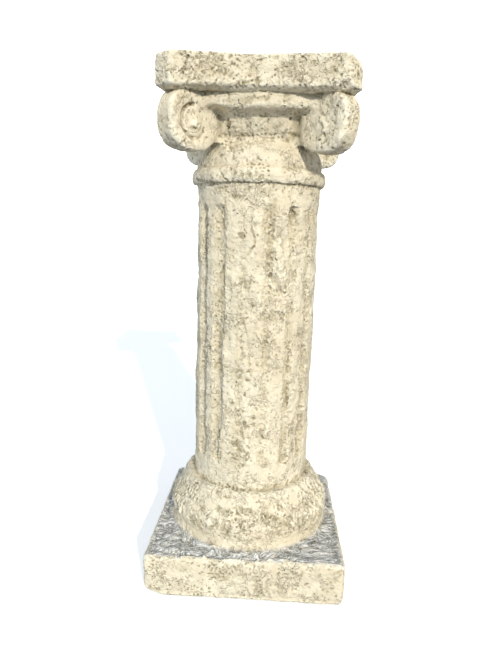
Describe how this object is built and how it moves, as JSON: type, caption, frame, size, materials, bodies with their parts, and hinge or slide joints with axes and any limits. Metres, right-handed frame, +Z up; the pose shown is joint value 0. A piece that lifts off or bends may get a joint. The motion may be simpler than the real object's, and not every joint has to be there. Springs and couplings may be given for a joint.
{
  "type": "ionic column pedestal",
  "caption": "Worn cast-stone garden pedestal shaped as a short fluted column, with a square plinth, a torus base and a capital with diagonal volutes under a square slab.",
  "frame": {"origin": "middle of the plinth's underside", "axes": "+Z up along the column, the front (the side in the picture) towards -Y, +X to the right"},
  "size_m": [0.3, 0.3, 0.76],
  "materials": {
    "cast_stone": "matte, weathered, pitted cream cast stone with grey-brown dirt in the hollows"
  },
  "bodies": {
    "root": {"column": "cast_stone"}
  },
  "joints": []
}
